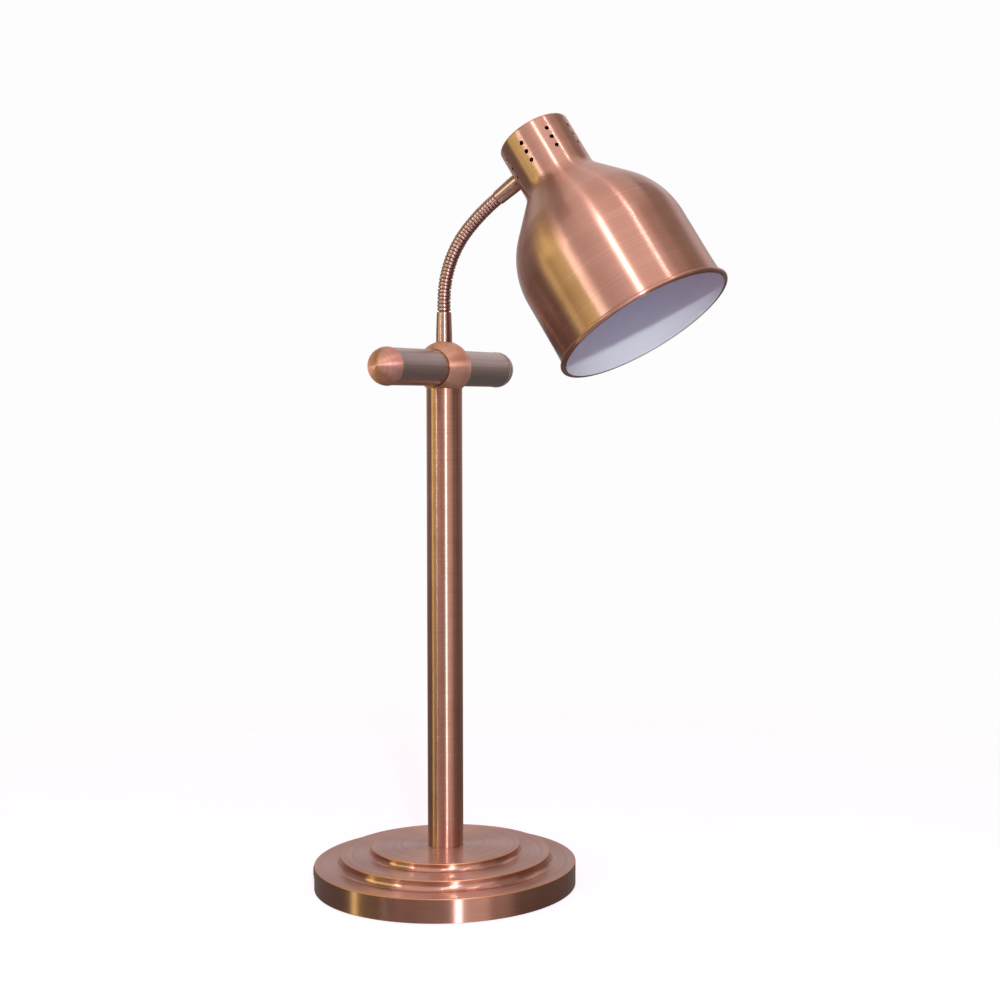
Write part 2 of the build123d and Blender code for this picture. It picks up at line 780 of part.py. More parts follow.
with BuildPart() as lamp_socket:
    with BuildSketch(across_shade(socket_top)):
        Circle(socket_radius)
    extrude(amount=-socket_length)
    fillet(lamp_socket.edges().filter_by(GeomType.CIRCLE), socket_round)
    with BuildSketch(across_shade(socket_floor)):
        Circle(socket_mouth_radius)
    extrude(amount=-socket_length, mode=Mode.SUBTRACT)
    with BuildSketch(across_shade(socket_floor)):
        Circle(lead_hole_radius)
    extrude(amount=socket_length, mode=Mode.SUBTRACT)
    with BuildSketch(across_shade(socket_top)):
        with GridLocations(screw_spacing, 1, 2, 1):
            Circle(socket_screw_radius + thread_clearance)
    extrude(amount=-socket_screw_depth, mode=Mode.SUBTRACT)
lamp_socket.part.label = "lamp_socket"
export_step(lamp_socket.part, "parts/lamp_socket.step")

with BuildPart() as socket_screws:
    with BuildSketch(across_shade(socket_top + bracket_thickness)):
        with GridLocations(screw_spacing, 1, 2, 1):
            Circle(socket_screw_head_radius)
    extrude(amount=socket_screw_head_height)
    with BuildSketch(across_shade(socket_top + bracket_thickness)):
        with GridLocations(screw_spacing, 1, 2, 1):
            Circle(socket_screw_radius)
    extrude(amount=-socket_screw_depth)
    with BuildSketch(across_shade(socket_top + bracket_thickness + socket_screw_head_height)):
        with GridLocations(screw_spacing, 1, 2, 1):
            Rectangle(2 * socket_screw_head_radius, screw_slot)
    extrude(amount=-screw_slot_depth, mode=Mode.SUBTRACT)
socket_screws.part.label = "socket_screws"
export_step(socket_screws.part, "parts/socket_screws.step")

with BuildPart() as socket_sleeve:
    with BuildSketch(across_shade(socket_floor)):
        Circle(sleeve_outer_radius)
        Circle(sleeve_outer_radius - sleeve_wall, mode=Mode.SUBTRACT)
    extrude(amount=-sleeve_height)
socket_sleeve.part.label = "socket_sleeve"
export_step(socket_sleeve.part, "parts/socket_sleeve.step")

contact_top = bulb_cap_top + bulb_tip_height + contact_thickness
with BuildPart() as socket_contact:
    with BuildSketch(shade_section):
        with BuildLine():
            Polyline(
                (bulb_tip_radius, contact_top),
                (bulb_tip_radius, contact_top - contact_thickness),
                (-bulb_tip_radius - contact_thickness, contact_top - contact_thickness),
                (-bulb_tip_radius - contact_thickness, socket_floor),
                (-bulb_tip_radius, socket_floor),
                (-bulb_tip_radius, contact_top),
                (bulb_tip_radius, contact_top),
            )
        make_face()
    extrude(amount=contact_width / 2, both=True)
socket_contact.part.label = "socket_contact"
export_step(socket_contact.part, "parts/socket_contact.step")

with BuildPart() as bulb_cap:
    with BuildSketch(shade_section):
        with BuildLine():
            Polyline(
                (bulb_stem_radius + stem_clearance, bulb_cap_foot),
                (bulb_cap_radius, bulb_cap_foot),
                (bulb_cap_radius, bulb_cap_top - bulb_cap_bevel),
                (2 * bulb_tip_radius, bulb_cap_top),
                (bulb_tip_radius, bulb_cap_top),
                (bulb_tip_radius, bulb_cap_top + bulb_tip_height),
                (0, bulb_cap_top + bulb_tip_height),
                (0, stem_end),
                (bulb_stem_radius + stem_clearance, stem_end),
                (bulb_stem_radius + stem_clearance, bulb_cap_foot),
            )
        make_face()
    revolve(axis=shade_axis)
bulb_cap.part.label = "bulb_cap"
export_step(bulb_cap.part, "parts/bulb_cap.step")


def bulb_section(inset):
    # Half section of the bulb's glass, this far inside its outer face
    end = stem_end + inset
    with BuildSketch() as section:
        with BuildLine():
            face = ThreePointArc(
                (0, bulb_face + inset),
                (bulb_face_radius / 2, bulb_face + inset + bulb_face_sag / 4),
                (bulb_face_radius - inset, bulb_face + inset + bulb_face_sag),
            )
            corner = Line(face @ 1, (bulb_radius - inset, bulb_widest))
            back = ThreePointArc(
                corner @ 1,
                (bulb_waist_radius - inset, bulb_waist),
                (bulb_throat_radius - inset, bulb_throat),
            )
            Polyline(
                back @ 1,
                (bulb_stem_radius - inset, bulb_throat + bulb_throat_radius - bulb_stem_radius),
                (bulb_stem_radius - inset, end),
                (0, end),
                (0, bulb_face + inset),
            )
        make_face()
    return section.sketch


with BuildPart() as bulb_glass:
    with BuildSketch(shade_section):
        add(bulb_section(0))
    revolve(axis=shade_axis)
    with BuildSketch(shade_section):
        add(bulb_section(glass_wall))
    revolve(axis=shade_axis, mode=Mode.SUBTRACT)
bulb_glass.part.label = "bulb_glass"
export_step(bulb_glass.part, "parts/bulb_glass.step")

with BuildPart() as bulb_filament:
    with BuildLine(shade_section) as filament_path:
        FilletPolyline(
            (-filament_span / 2, stem_end),
            (-filament_span / 2, filament_height),
            (filament_span / 2, filament_height),
            (filament_span / 2, stem_end),
            radius=4 * filament_radius,
        )
    with BuildSketch(Plane(origin=filament_path.line @ 0, z_dir=filament_path.line % 0)):
        Circle(filament_radius)
    sweep(path=filament_path.line)
bulb_filament.part.label = "bulb_filament"
export_step(bulb_filament.part, "parts/bulb_filament.step")

with BuildPart() as head_lead:
    with BuildLine(shade_section) as head_lead_path:
        FilletPolyline(
            (-neck_radius - lead_into_ferrule, stem_height_on_shade),
            (-lead_rise_radius, stem_height_on_shade),
            (-lead_rise_radius, lead_loop),
            (0, lead_loop),
            (0, socket_floor + lead_stop),
            radius=lead_bend,
        )
    with BuildSketch(Plane(origin=head_lead_path.line @ 0, z_dir=head_lead_path.line % 0)):
        Circle(lead_radius)
    sweep(path=head_lead_path.line)
head_lead.part.label = "head_lead"
export_step(head_lead.part, "parts/head_lead.step")

with BuildPart() as terminal_block:
    with BuildSketch(Plane.XY.offset(cover_top)):
        with Locations((block_place, 0)):
            Rectangle(block_length, block_width)
    extrude(amount=block_height)
    with BuildSketch(Plane.XY.offset(cover_top + block_height)):
        with Locations((block_place, 0)):
            with GridLocations(block_length / 2, block_width / 3, 2, 3):
                Circle(block_hole_radius)
    extrude(amount=-block_height / 3, mode=Mode.SUBTRACT)
terminal_block.part.label = "terminal_block"
export_step(terminal_block.part, "parts/terminal_block.step")

lead_height = cover_top + lead_clearance + lead_radius

with BuildPart() as inner_lead:
    with BuildLine(Plane.XZ) as inner_lead_path:
        FilletPolyline(
            (block_place + block_length / 2, lead_height),
            (0, lead_height),
            (0, ferrule_top - 2 * nose_radius),
            radius=lead_bend,
        )
    with BuildSketch(Plane(origin=inner_lead_path.line @ 0, z_dir=inner_lead_path.line % 0)):
        Circle(lead_radius)
    sweep(path=inner_lead_path.line)
inner_lead.part.label = "inner_lead"
export_step(inner_lead.part, "parts/inner_lead.step")

with BuildPart() as cable_inlet:
    with BuildSketch(inlet_plane):
        Circle(inlet_flange_radius)
    extrude(amount=inlet_flange)
    with BuildSketch(inlet_plane):
        Circle(inlet_shank_radius)
    extrude(amount=-inlet_shank)
    chamfer(cable_inlet.edges().sort_by(Axis.X)[0], inlet_chamfer)
    with BuildSketch(inlet_plane.offset(-inlet_shank)):
        Circle(inlet_bore_radius)
    extrude(amount=inlet_shank + inlet_flange, mode=Mode.SUBTRACT)
cable_inlet.part.label = "cable_inlet"
export_step(cable_inlet.part, "parts/cable_inlet.step")

# The flat nut meets the hollow wall of the shell at its corners
inlet_nut_corner = inlet_nut_flats / math.sqrt(3)
inlet_nut_seat = math.sqrt(shell_inner_radius**2 - inlet_nut_corner**2) - thread_clearance

with BuildPart() as inlet_nut:
    with BuildSketch(inlet_plane.offset(inlet_nut_seat - base_radius)):
        RegularPolygon(inlet_nut_flats / 2, 6, major_radius=False)
        Circle(inlet_shank_radius + thread_clearance, mode=Mode.SUBTRACT)
    extrude(amount=-inlet_nut_thickness)
inlet_nut.part.label = "inlet_nut"
export_step(inlet_nut.part, "parts/inlet_nut.step")

# The switch: a housing pushed into the back of the base and a rocker on an upright axle inside it
pocket_length = rocker_length + 2 * rocker_end_gap
pocket_height = rocker_height + 2 * rocker_gap

with BuildPart() as switch_housing:
    with BuildSketch(switch_plane):
        RectangleRounded(switch_height, switch_length, switch_corner)
    extrude(amount=switch_flange)
    with BuildSketch(switch_plane):
        Rectangle(switch_body_height, switch_body_length)
    extrude(amount=-switch_body_depth)
    with BuildSketch(switch_plane.offset(switch_flange)):
        Rectangle(pocket_height, pocket_length)
    extrude(amount=-switch_flange - rocker_depth, mode=Mode.SUBTRACT)
    with BuildSketch(Plane(origin=switch_plane.origin, x_dir=switch_facing, z_dir=(0, 0, 1))):
        Circle(rocker_axle_radius + thread_clearance)
    extrude(amount=switch_body_height / 2 - axle_wall, both=True, mode=Mode.SUBTRACT)
    with BuildSketch(switch_plane.offset(-switch_body_depth)):
        with GridLocations(1, switch_body_length / 2, 1, 2):
            Rectangle(tab_width, tab_thickness)
    extrude(amount=-tab_length)
switch_housing.part.label = "switch_housing"
export_step(switch_housing.part, "parts/switch_housing.step")

tilt = math.radians(rocker_tilt_angle)
sideways = Vector(0, 0, 1).cross(switch_facing)
rocker_facing = switch_facing * math.cos(tilt) + sideways * math.sin(tilt)
rocker_plane = Plane(origin=switch_plane.origin, x_dir=rocker_facing, z_dir=(0, 0, 1))
with BuildPart() as switch_rocker:
    with BuildSketch(rocker_plane):
        with BuildLine():
            half = rocker_length / 2
            valley = ThreePointArc((rocker_crest, -half), (rocker_valley, 0), (rocker_crest, half))
            Polyline(
                valley @ 1,
                (rocker_shoulder, half),
                (-rocker_back, half - rocker_slant),
                (-rocker_back, rocker_slant - half),
                (rocker_shoulder, -half),
                valley @ 0,
            )
        make_face()
    extrude(amount=rocker_height / 2, both=True)
    with BuildSketch(rocker_plane):
        Circle(rocker_axle_radius)
    extrude(amount=switch_body_height / 2 - axle_wall - axle_end_gap, both=True)
switch_rocker.part.label = "switch_rocker"
export_step(switch_rocker.part, "parts/switch_rocker.step")

print("gooseneck ends at", [round(value, 2) for value in pivots[-1]])
print("mouth centre", [round(value, 2) for value in mouth_centre])
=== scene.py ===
import json
import math

import bmesh
import bpy
import numpy as np
from mathutils import Matrix, Vector


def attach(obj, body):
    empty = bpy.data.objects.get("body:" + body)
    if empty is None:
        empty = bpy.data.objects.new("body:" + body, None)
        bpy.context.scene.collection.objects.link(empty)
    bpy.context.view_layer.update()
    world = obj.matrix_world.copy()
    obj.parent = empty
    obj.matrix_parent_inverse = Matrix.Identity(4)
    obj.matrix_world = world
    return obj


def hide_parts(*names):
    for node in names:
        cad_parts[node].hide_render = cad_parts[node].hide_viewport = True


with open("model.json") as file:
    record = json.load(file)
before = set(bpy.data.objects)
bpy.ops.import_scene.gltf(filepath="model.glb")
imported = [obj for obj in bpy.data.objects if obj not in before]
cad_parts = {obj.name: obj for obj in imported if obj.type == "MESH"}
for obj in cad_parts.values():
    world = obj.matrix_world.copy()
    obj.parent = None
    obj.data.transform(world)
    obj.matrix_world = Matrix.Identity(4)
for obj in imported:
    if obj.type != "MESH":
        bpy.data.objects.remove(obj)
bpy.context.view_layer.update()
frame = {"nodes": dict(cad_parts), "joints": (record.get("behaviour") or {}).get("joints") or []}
scene = bpy.context.scene
mm = 0.001


# Shader groups, each used by several of the lamp's finishes

skinLook = {
    "clouds": (1.2, 1.2, 0.03),  # slow change of tone round and along a turned piece
    "cloudShare": 0.45,
    "turnedWear": (0.32, 0.68),  # noise over this range goes from the colour to the worn colour
    "castClouds": 22.0,
    "castWear": (0.35, 0.7),
    "roughened": (0.3, 0.7),  # noise over this range goes from the low to the high roughness
}


def openGroup(name, inputs):
    group = bpy.data.node_groups.new(name, "ShaderNodeTree")
    for label, kind, value in inputs:
        socket = group.interface.new_socket(label, in_out="INPUT", socket_type="NodeSocket" + kind)
        socket.default_value = value
    for label, kind in (("Colour", "Color"), ("Roughness", "Float"), ("Height", "Float")):
        group.interface.new_socket(label, in_out="OUTPUT", socket_type="NodeSocket" + kind)
    return group, group.nodes.new("NodeGroupInput"), group.nodes.new("NodeGroupOutput")


def addNode(tree, kind, links=(), **settings):
    # links are (input name or number, source socket or plain value)
    node = tree.nodes.new("ShaderNode" + kind)
    for key, value in settings.items():
        setattr(node, key, value)
    for target, source in links:
        if isinstance(source, bpy.types.NodeSocket):
            tree.links.new(source, node.inputs[target])
        else:
            node.inputs[target].default_value = source
    return node


def mapRange(tree, source, span, low, high, **settings):
    links = [(0, source), (1, span[0]), (2, span[1]), (3, low), (4, high)]
    return addNode(tree, "MapRange", links, **settings).outputs[0]


def closeGroup(group, start, end, wear, grain):
    # The colour follows the wear, and roughness and height follow the grain
    tone = addNode(
        group, "Mix", [(0, wear), (6, start.outputs["Colour"]), (7, start.outputs["Worn Colour"])], data_type="RGBA"
    )
    rough = mapRange(
        group, grain, skinLook["roughened"], start.outputs["Low Roughness"], start.outputs["High Roughness"]
    )
    group.links.new(tone.outputs[2], end.inputs["Colour"])
    group.links.new(rough, end.inputs["Roughness"])
    group.links.new(grain, end.inputs["Height"])


def makeTurnedGrain():
    # Fine rings left by a brush against a turning part: u is the angle, v the way along the profile
    group, start, end = openGroup(
        "turnedGrain",
        [
            ("Colour", "Color", (0.6, 0.3, 0.2, 1)),
            ("Worn Colour", "Color", (0.5, 0.25, 0.15, 1)),
            ("Rings", "Float", 900),
            ("Around", "Float", 0.4),
            ("Low Roughness", "Float", 0.25),
            ("High Roughness", "Float", 0.4),
        ],
    )
    uv = addNode(group, "UVMap")
    parts = addNode(group, "SeparateXYZ", [(0, uv.outputs[0])])
    turn = addNode(group, "Math", [(0, parts.outputs[0]), (1, 2 * math.pi)], operation="MULTIPLY")
    across = addNode(group, "Math", [(0, turn.outputs[0])], operation="COSINE")
    beside = addNode(group, "Math", [(0, turn.outputs[0])], operation="SINE")
    along = addNode(group, "Math", [(0, parts.outputs[1]), (1, start.outputs["Rings"])], operation="MULTIPLY")
    place = addNode(group, "CombineXYZ", [(0, across.outputs[0]), (1, beside.outputs[0]), (2, along.outputs[0])])
    spread = addNode(group, "CombineXYZ", [(0, start.outputs["Around"]), (1, start.outputs["Around"]), (2, 1.0)])
    drawn = addNode(group, "VectorMath", [(0, place.outputs[0]), (1, spread.outputs[0])], operation="MULTIPLY")
    rings = addNode(group, "TexNoise", [("Vector", drawn.outputs[0]), ("Scale", 1.0), ("Detail", 3.0)])
    slow = addNode(group, "VectorMath", [(0, place.outputs[0]), (1, skinLook["clouds"])], operation="MULTIPLY")
    clouds = addNode(group, "TexNoise", [("Vector", slow.outputs[0]), ("Scale", 1.0), ("Detail", 2.0)])
    both = addNode(
        group, "Mix", [(0, skinLook["cloudShare"]), (2, rings.outputs["Fac"]), (3, clouds.outputs["Fac"])],
        data_type="FLOAT",
    )
    wear = mapRange(group, both.outputs[0], skinLook["turnedWear"], 0.0, 1.0)
    closeGroup(group, start, end, wear, rings.outputs["Fac"])
    return group


def makeCastSkin():
    # Uneven skin of a moulded, cast, plated or coated piece, in the piece's own space
    group, start, end = openGroup(
        "castSkin",
        [
            ("Colour", "Color", (0.5, 0.5, 0.5, 1)),
            ("Worn Colour", "Color", (0.4, 0.4, 0.4, 1)),
            ("Grain", "Float", 300),
            ("Low Roughness", "Float", 0.3),
            ("High Roughness", "Float", 0.5),
        ],
    )
    place = addNode(group, "TexCoord").outputs["Object"]
    fine = addNode(group, "TexNoise", [("Vector", place), ("Scale", start.outputs["Grain"]), ("Detail", 4.0)])
    wide = addNode(group, "TexNoise", [("Vector", place), ("Scale", skinLook["castClouds"]), ("Detail", 2.0)])
    wear = mapRange(group, wide.outputs["Fac"], skinLook["castWear"], 0.0, 1.0)
    closeGroup(group, start, end, wear, fine.outputs["Fac"])
    return group


turnedGrain = makeTurnedGrain()
castSkin = makeCastSkin()


def surface(name, group, colour, worn, grain, low, high, bump, shader, around=0.4, leaning=False):
    # grain is the group's third input, in rings or grains to the metre, and bump is in metres;
    # shader holds the constants that go straight on the Principled sockets; a leaning piece
    # has its mesh in the lamp's own frame, so its brushing follows u and not the object's Z
    material = bpy.data.materials.new(name)
    material.use_nodes = True
    tree = material.node_tree
    principled = tree.nodes["Principled BSDF"]
    skin = addNode(tree, "Group", node_tree=group)
    skin.inputs["Colour"].default_value = (*colour, 1)
    skin.inputs["Worn Colour"].default_value = (*worn, 1)
    skin.inputs[2].default_value = grain
    if group == turnedGrain:
        skin.inputs["Around"].default_value = around
    skin.inputs["Low Roughness"].default_value = low
    skin.inputs["High Roughness"].default_value = high
    tree.links.new(skin.outputs["Colour"], principled.inputs["Base Color"])
    tree.links.new(skin.outputs["Roughness"], principled.inputs["Roughness"])
    height = addNode(tree, "Bump", [("Height", skin.outputs["Height"]), ("Strength", 1.0), ("Distance", bump)])
    tree.links.new(height.outputs[0], principled.inputs["Normal"])
    for key, value in shader.items():
        principled.inputs[key].default_value = value
    if shader.get("Anisotropic"):
        brush = addNode(tree, "Tangent", direction_type="UV_MAP" if leaning else "RADIAL", axis="Z")
        if leaning:
            brush.uv_map = "UVMap"
        tree.links.new(brush.outputs[0], principled.inputs["Tangent"])
    return material


# Clear lacquer lies over all the copper, which is brushed round each turned piece.
# Each finish has its colour, worn colour, grain, low and high roughness, bump and shader constants.
brushed = {"Metallic": 1.0, "Anisotropic": 1.0, "Anisotropic Rotation": 0.25, "Coat Roughness": 0.14, "Coat IOR": 1.5}
thin, middling, thick = ({**brushed, "Coat Weight": weight} for weight in (0.12, 0.35, 0.5))
lengthwise = {**middling, "Anisotropic": 0.7, "Anisotropic Rotation": 0.0}
metal, matt = {"Metallic": 1.0}, {"Metallic": 0.0}
copper, wornCopper = (0.58, 0.275, 0.197), (0.465, 0.205, 0.14)
shadeCopper = surface(
    "antiqueCopperShade", turnedGrain, copper, wornCopper, 1500, 0.285, 0.305, 5e-7, middling, leaning=True
)
postCopper = surface("antiqueCopperPost", turnedGrain, copper, wornCopper, 1300, 0.285, 0.31, 5e-7, middling)
baseCopper = surface("antiqueCopperBase", turnedGrain, copper, wornCopper, 1700, 0.21, 0.235, 6e-7, middling)
tierCopper = surface(
    "antiqueCopperTiers", turnedGrain, (0.6, 0.295, 0.225), (0.47, 0.22, 0.165), 240, 0.3, 0.34, 6e-7, thick
)
# Brighter, more orange copper in a narrow band along each of the base's step edges
edgeCopper = surface(
    "brightCopperEdges", turnedGrain, (0.76, 0.32, 0.17), (0.62, 0.24, 0.12), 900, 0.3, 0.4, 6e-7, metal
)
capCopper = surface(
    "antiqueCopperCap", turnedGrain, (0.68, 0.315, 0.245), (0.5, 0.2, 0.15), 900, 0.43, 0.47, 4e-7, thin
)
ballCopper = surface(
    "antiqueCopperBall", turnedGrain, (0.69, 0.335, 0.235), (0.57, 0.25, 0.165), 700, 0.43, 0.47, 4e-7, thin
)
neckCopper = surface(
    "antiqueCopperNeck", turnedGrain, (0.58, 0.33, 0.26), (0.45, 0.235, 0.18), 1200, 0.29, 0.31, 4e-7, middling
)
linkCopper = surface(
    "antiqueCopperLinks", turnedGrain, (0.61, 0.355, 0.3), (0.48, 0.26, 0.2), 1200, 0.33, 0.37, 4e-7, middling
)
# Near-black painted shade in the gooseneck's grooves and in the links' joints
shadedGrooveCopper = surface(
    "paintedShadeGroovesCopper", turnedGrain, (0.16, 0.06, 0.045), (0.1, 0.035, 0.03), 1200, 0.5, 0.6, 4e-7, metal
)
tubeBronze = surface(
    "brushedBronzeTube", turnedGrain, (0.54, 0.395, 0.365), (0.4, 0.285, 0.26), 7, 0.34, 0.4, 8e-7, lengthwise,
    around=9.0,
)
# White enamel with a lilac tint; the tint is painted shade, matching the shaded deep part of the bell's inside
whiteEnamel = surface(
    "whiteEnamelInside", turnedGrain, (0.83, 0.74, 0.85), (0.8, 0.705, 0.82), 300, 0.3, 0.38, 6e-6,
    {**matt, "Coat Weight": 0.3, "Coat Roughness": 0.1},
)
# Near-black painted shade inside the neck, also on the inner face round the vents
shadedNeckInside = surface(
    "paintedShadeNeckInside", turnedGrain, (0.02, 0.017, 0.016), (0.03, 0.025, 0.022), 300, 0.5, 0.7, 1e-5, matt
)
castFinishes = {
    "castIron": ((0.05, 0.05, 0.052), (0.09, 0.075, 0.065), 700, 0.5, 0.75, 2e-4, {"Metallic": 0.6}),
    "plateSteel": ((0.42, 0.42, 0.43), (0.36, 0.35, 0.34), 500, 0.35, 0.5, 2e-5, metal),
    "zincSteel": ((0.62, 0.62, 0.6), (0.55, 0.54, 0.5), 600, 0.25, 0.4, 1e-5, metal),
    "padRubber": ((0.02, 0.02, 0.021), (0.035, 0.034, 0.033), 900, 0.7, 0.9, 1e-4, matt),
    "whitePlastic": ((0.72, 0.72, 0.7), (0.66, 0.65, 0.62), 400, 0.35, 0.5, 2e-5, matt),
    "leadSheath": ((0.6, 0.42, 0.25), (0.5, 0.34, 0.2), 900, 0.5, 0.7, 5e-5, matt),
    "blackPlastic": ((0.018, 0.018, 0.019), (0.028, 0.027, 0.027), 900, 0.35, 0.5, 3e-5, matt),
    "porcelain": ((0.75, 0.73, 0.68), (0.7, 0.67, 0.6), 200, 0.12, 0.22, 2e-5, {**matt, "Coat Weight": 0.5}),
    "contactBrass": ((0.72, 0.52, 0.22), (0.6, 0.42, 0.18), 500, 0.25, 0.4, 1e-5, metal),
    "capBrass": ((0.75, 0.6, 0.35), (0.66, 0.5, 0.28), 500, 0.2, 0.35, 1e-5, metal),
    "bulbGlass": (
        (0.93, 0.94, 0.95), (0.9, 0.9, 0.9), 150, 0.05, 0.16, 1e-5,
        {**matt, "Transmission Weight": 1.0, "IOR": 1.5},
    ),
    "filamentWire": ((0.3, 0.29, 0.28), (0.2, 0.19, 0.19), 900, 0.3, 0.5, 1e-5, metal),
}
castMaterials = {name: surface(name, castSkin, *values) for name, values in castFinishes.items()}
print("finishes made")


# Turned pieces, in mm until they become meshes


def unit(v):
    return v / np.linalg.norm(v)


def rounded(corners, support=0.3, steps=5):
    # Profile points (radius, height) of these (radius, height, fillet) corners, with extra
    # points this close to each corner so that long faces shade flat; the end corners stay sharp
    runs = []
    for i, (r, z, fillet) in enumerate(corners):
        here = np.array((r, z), float)
        if i in (0, len(corners) - 1) or fillet == 0:
            runs.append([here])
            continue
        back = unit(np.array(corners[i - 1][:2], float) - here)
        ahead = unit(np.array(corners[i + 1][:2], float) - here)
        half = math.acos(np.clip(back @ ahead, -1, 1)) / 2
        centre = here + unit(back + ahead) * fillet / math.sin(half)
        first, last = here + back * fillet / math.tan(half), here + ahead * fillet / math.tan(half)
        a, b = (math.atan2(*(p - centre)[::-1]) for p in (first, last))
        swing = (b - a + math.pi) % (2 * math.pi) - math.pi
        turns = [a + swing * k / steps for k in range(steps + 1)]
        runs.append([centre + fillet * np.array((math.cos(t), math.sin(t))) for t in turns])
    points = []
    for i, run in enumerate(runs):
        points += run
        if i + 1 < len(runs):
            step = runs[i + 1][0] - run[-1]
            length = np.linalg.norm(step)
            if length > 4 * support:
                points += [run[-1] + step / length * support, runs[i + 1][0] - step / length * support]
    return points


def arc(r, z, radius, start, stop, steps):
    # Corners along an arc about (r, z), without fillets
    turns = [math.radians(start + (stop - start) * k / steps) for k in range(steps + 1)]
    return [(r + radius * math.cos(t), z + radius * math.sin(t), 0) for t in turns]


def tubeProfile(size):
    # A plain tube's wall, with its outer edges softened
    bore = size["radius"] - size["wall"]
    return rounded(
        [
            (bore, size["low"], 0), (size["radius"], size["low"], size["edge"]),
            (size["radius"], size["high"], size["edge"]), (bore, size["high"], 0),
        ]
    )


def placed(origin, axis):
    # Matrix whose Z runs along axis, with X kept in the lamp's own plane
    z = Vector(axis).normalized()
    y = Vector((0, 1, 0)) if abs(z.y) < 0.9 else Vector((0, 0, 1))
    x = y.cross(z).normalized()
    y = z.cross(x)
    matrix = Matrix((x, y, z)).transposed().to_4x4()
    matrix.translation = Vector(origin)
    return matrix


def meshPiece(name, points, faces, matrix, materials, body, nodes, leaning=False):
    # faces are (corner numbers, material number, uv of each corner)
    if leaning:
        points = [matrix @ Vector(p) for p in points]
        matrix = Matrix()
    mesh = bpy.data.meshes.new(name)
    mesh.from_pydata([tuple(p) for p in points], [], [f[0] for f in faces])
    layer = mesh.uv_layers.new(name="UVMap")
    layer.data.foreach_set("uv", [c for f in faces for uv in f[2] for c in uv])
    mesh.polygons.foreach_set("material_index", [f[1] for f in faces])
    mesh.polygons.foreach_set("use_smooth", [True] * len(faces))
    for material in materials:
        mesh.materials.append(material)
    outward = bmesh.new()
    outward.from_mesh(mesh)
    bmesh.ops.recalc_face_normals(outward, faces=outward.faces)
    outward.to_mesh(mesh)
    outward.free()
    piece = bpy.data.objects.new(name, mesh)
    scene.collection.objects.link(piece)
    piece.matrix_world = matrix
    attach(piece, body)
    if nodes:
        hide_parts(*nodes)


def turnedGrid(profile, segments, closed, pick=None):
    # A profile turned about Z: its points, its faces and a vertex number for each (row, column),
    # and the way along the profile to each row
    points, number = [], {}
    for i, (r, z) in enumerate(profile):
        if r < 1e-6:  # on the axis, one point for the whole row
            points.append((0, 0, z * mm))
            for k in range(segments):
                number[i, k] = len(points) - 1
            continue
        for k in range(segments):
            t = 2 * math.pi * k / segments
            number[i, k] = len(points)
            points.append((r * mm * math.cos(t), r * mm * math.sin(t), z * mm))
    lengths = [0.0]
    for a, b in zip(profile, [*profile[1:], profile[0]]):
        lengths.append(lengths[-1] + math.dist(a, b) * mm)
    faces = {}
    rows = len(profile)
    for i in range(rows if closed else rows - 1):
        j = (i + 1) % rows
        material = pick(i) if pick else 0
        for k in range(segments):
            n = (k + 1) % segments
            u, nextU = k / segments, (k + 1) / segments
            corners = [number[i, k], number[i, n], number[j, n], number[j, k]]
            uvs = [(u, lengths[i]), (nextU, lengths[i]), (nextU, lengths[i + 1]), (u, lengths[i + 1])]
            kept = [c for c in range(4) if corners[c] not in corners[:c]]
            faces[i, k] = ([corners[c] for c in kept], material, [uvs[c] for c in kept])
    return points, faces, number, lengths


def turned(name, profile, matrix, materials, body, nodes, segments, closed=True, pick=None, leaning=False):
    points, faces, *_ = turnedGrid(profile, segments, closed, pick)
    meshPiece(name, points, list(faces.values()), matrix, materials, body, nodes, leaning)


upright = placed((0, 0, 0), (0, 0, 1))

base = {
    "segments": 320,
    "outside": [
        (138.5, 1, 0), (140, 1, 0.4), (140, 26, 0.6), (118.5, 26, 0),
        *arc(118.5, 32, 6, 270, 180, 10), (112.5, 36.4, 0.6), (84.6, 36.4, 0),
        *arc(84.6, 41.2, 4.8, 270, 180, 10), (79.8, 44.3, 0.6), (0, 44.3, 0),
    ],
    "inside": [(0, 42.8, 0), (78.3, 42.8, 0), (78.3, 34.9, 0), (111, 34.9, 0), (111, 24.5, 0), (138.5, 24.5, 0)],
    "edges": [(140, 26), (112.5, 36.4), (79.8, 44.3)],  # in brighter, more orange copper
    "edgeBand": 1.1,
    "level": 0.01,  # a face this near an edge's height is a step's flat top
}
baseProfile = rounded(base["outside"], support=0.6) + rounded(base["inside"])


def baseFinish(row):
    middle = (np.array(baseProfile[row]) + baseProfile[(row + 1) % len(baseProfile)]) / 2
    if min(math.dist(middle, edge) for edge in base["edges"]) < base["edgeBand"]:
        return 2
    return int(any(abs(middle[1] - height) < base["level"] for _, height in base["edges"]))


turned(
    "baseShell", baseProfile, upright, [baseCopper, tierCopper, edgeCopper],
    "stand", ["base_shell"], base["segments"], pick=baseFinish,
)

post = {"radius": 19, "wall": 1.2, "low": 44.3, "high": 533.62, "edge": 0.25, "segments": 128}
turned(
    "postTube", tubeProfile(post), upright, [postCopper], "stand", ["post_tube"], post["segments"]
)

hub = {"height": 555, "ball": 28.6, "bore": 19.15, "chamfer": 0.9, "edge": 0.2, "steps": 48, "segments": 160}
hubPlace = placed((0, 0, hub["height"] * mm), (0, 1, 0))
hubTurn = math.degrees(math.acos((hub["bore"] + hub["chamfer"]) / hub["ball"]))
hubHalf = hub["ball"] * math.sin(math.radians(hubTurn))  # half the length of its bore
hubProfile = rounded(
    [
        *arc(0, 0, hub["ball"], -hubTurn, hubTurn, hub["steps"]),
        (hub["bore"], hubHalf - hub["chamfer"], hub["edge"]), (hub["bore"], hub["chamfer"] - hubHalf, 0),
    ]
)
turned("ballHub", hubProfile, hubPlace, [ballCopper], "stand", ["ball_hub"], hub["segments"])

